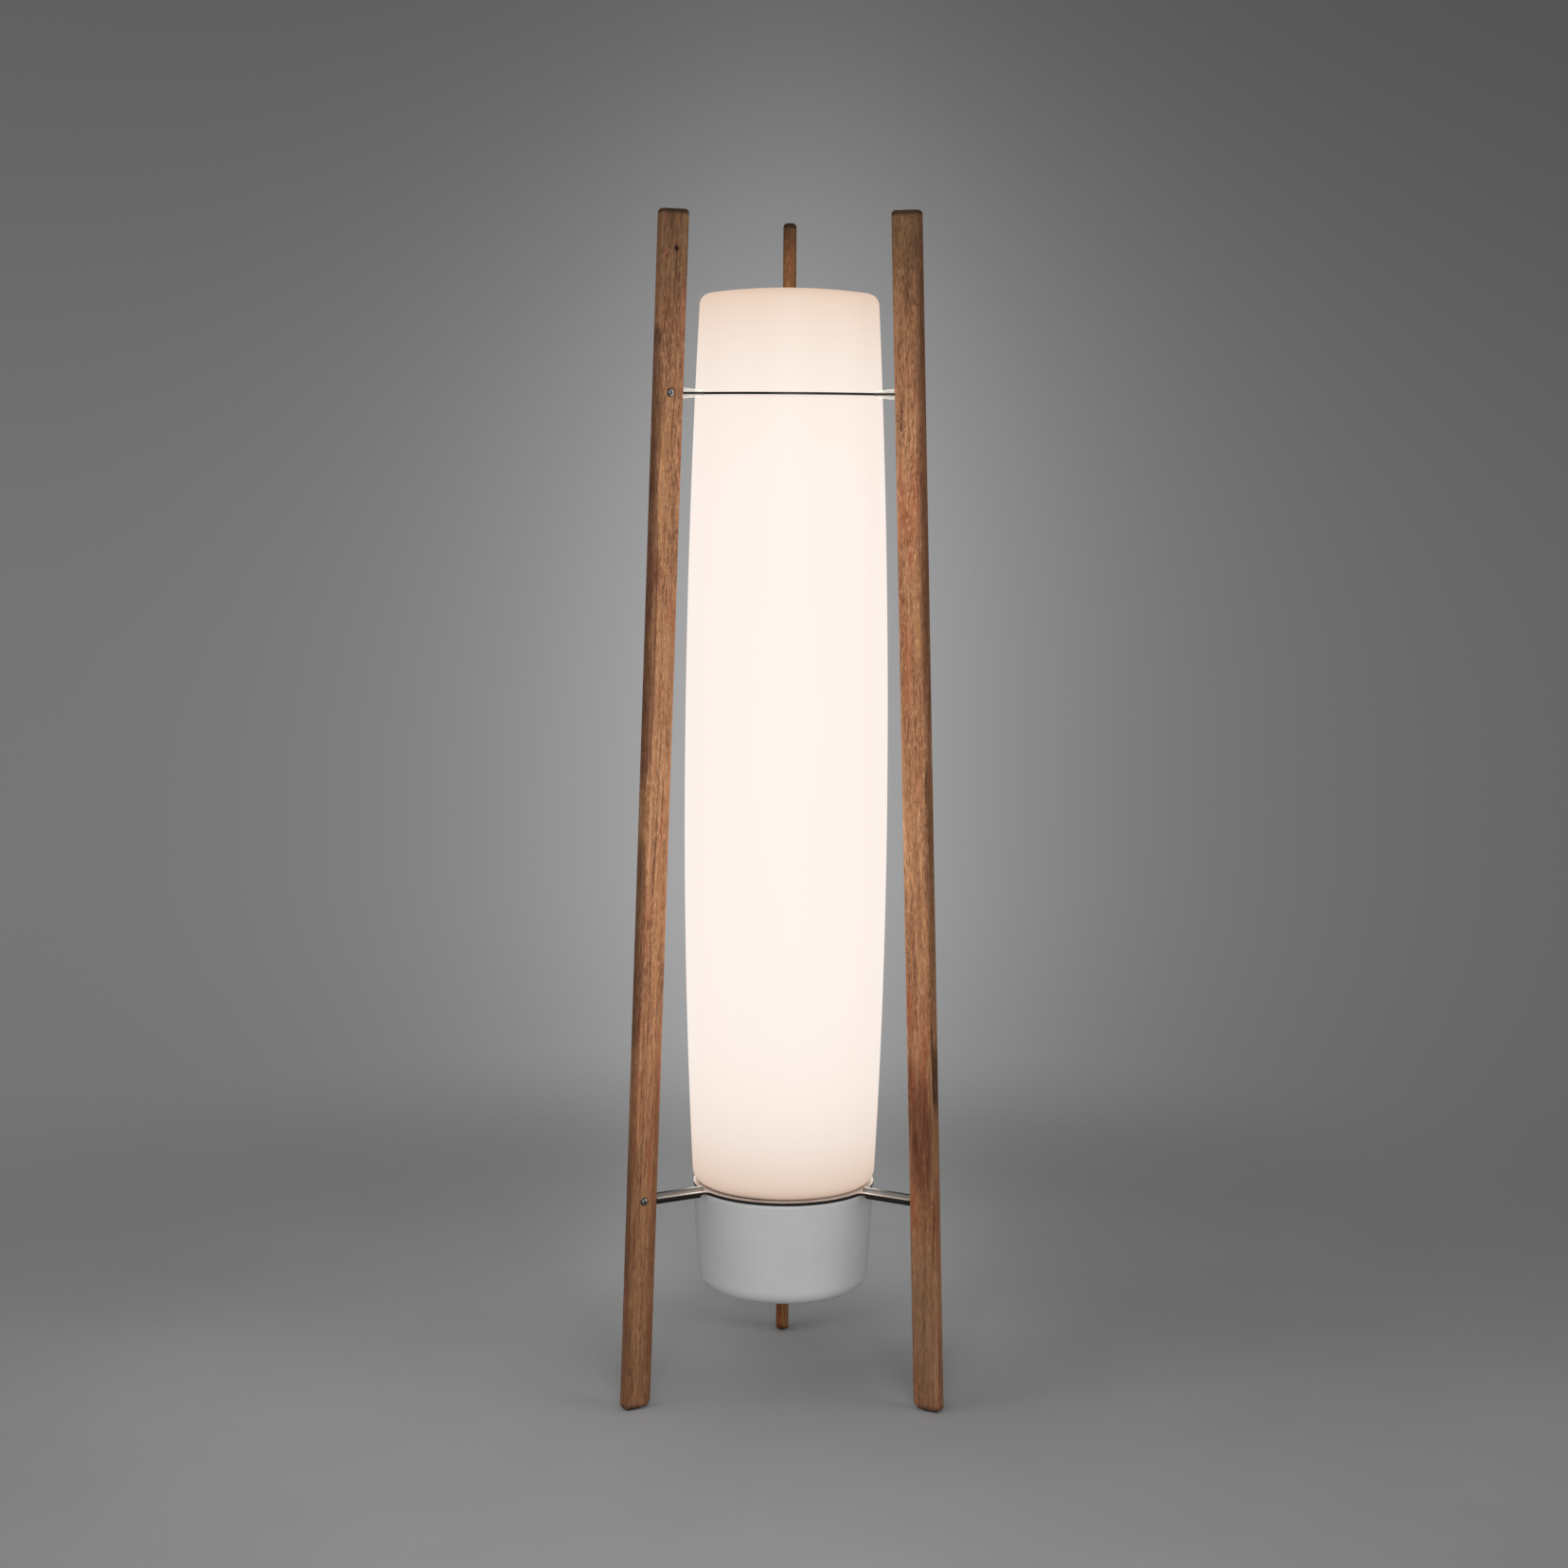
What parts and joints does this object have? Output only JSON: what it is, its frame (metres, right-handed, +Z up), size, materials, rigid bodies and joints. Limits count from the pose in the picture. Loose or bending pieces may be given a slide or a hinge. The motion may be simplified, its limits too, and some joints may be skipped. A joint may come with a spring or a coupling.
{
  "type": "lantern floor lamp",
  "caption": "Tripod floor lamp: leaning flat wooden legs hold a tall closed opal barrel between flat steel rings, with a drop-down driver cover below.",
  "frame": {"origin": "on the floor, in the middle of the footprint's bounding box; the lamp's own axis is parallel to Z and stands 53.1 mm in front of it, at y = -53.1 mm", "axes": "+Z up along the lamp's axis, +Y towards the single back leg, +X to the right seen from the front"},
  "size_m": [0.3974, 0.3508, 1.45],
  "materials": {
    "oiled_wood": "oiled, straight fine grain",
    "dark_felt": "dense felt",
    "satin_steel": "satin, brushed",
    "dark_screw": "darkened steel",
    "opal_shell": "opal, lit from inside",
    "cover_shell": "satin opal, unlit",
    "white_plastic": "moulded",
    "black_plastic": "moulded nylon",
    "black_rubber": "matt",
    "zinc_plate": "zinc plated",
    "alloy": "extruded, mill finish",
    "board": "white solder mask",
    "emitter": "phosphor",
    "brass_parts": "plain",
    "clear_sheet": "clear acrylic",
    "lead_sheath": "smooth sheath"
  },
  "bodies": {
    "stand": {"leg_left": "oiled_wood", "leg_right": "oiled_wood", "leg_back": "oiled_wood", "foot_glides": "dark_felt", "upper_ring": "satin_steel", "lower_ring": "satin_steel", "upper_web_left": "satin_steel", "upper_web_right": "satin_steel", "upper_web_back": "satin_steel", "lower_web_left": "satin_steel", "lower_web_right": "satin_steel", "lower_web_back": "satin_steel", "upper_leg_screws": "dark_screw", "lower_leg_screws": "dark_screw", "diffuser": "opal_shell", "diffuser_gasket": "black_rubber", "gear_plate": "zinc_plate", "plate_washers": "zinc_plate", "plate_nuts": "zinc_plate", "mast_foot": "alloy", "mast_screws": "zinc_plate", "mast": "alloy", "mast_cap": "white_plastic", "centring_star": "clear_sheet", "led_board_left": "board", "led_board_right": "board", "led_board_front": "board", "led_emitters": "emitter", "board_screws": "zinc_plate", "driver": "white_plastic", "driver_screws": "zinc_plate", "terminal_block": "white_plastic", "terminal_screws": "brass_parts", "earth_screw": "brass_parts", "lead_grommet": "black_rubber", "led_lead": "lead_sheath", "cover_clips": "zinc_plate", "clip_screws": "zinc_plate"},
    "service_cover": {"base_cover": "cover_shell", "cover_gasket": "black_rubber", "cable_bush": "black_plastic", "bush_nut": "black_plastic"}
  },
  "joints": [
    {"name": "cover_slide", "type": "slide", "parent": "stand", "child": "service_cover", "axis": [0, 0, -1], "range_m": [0, 0.115]}
  ]
}
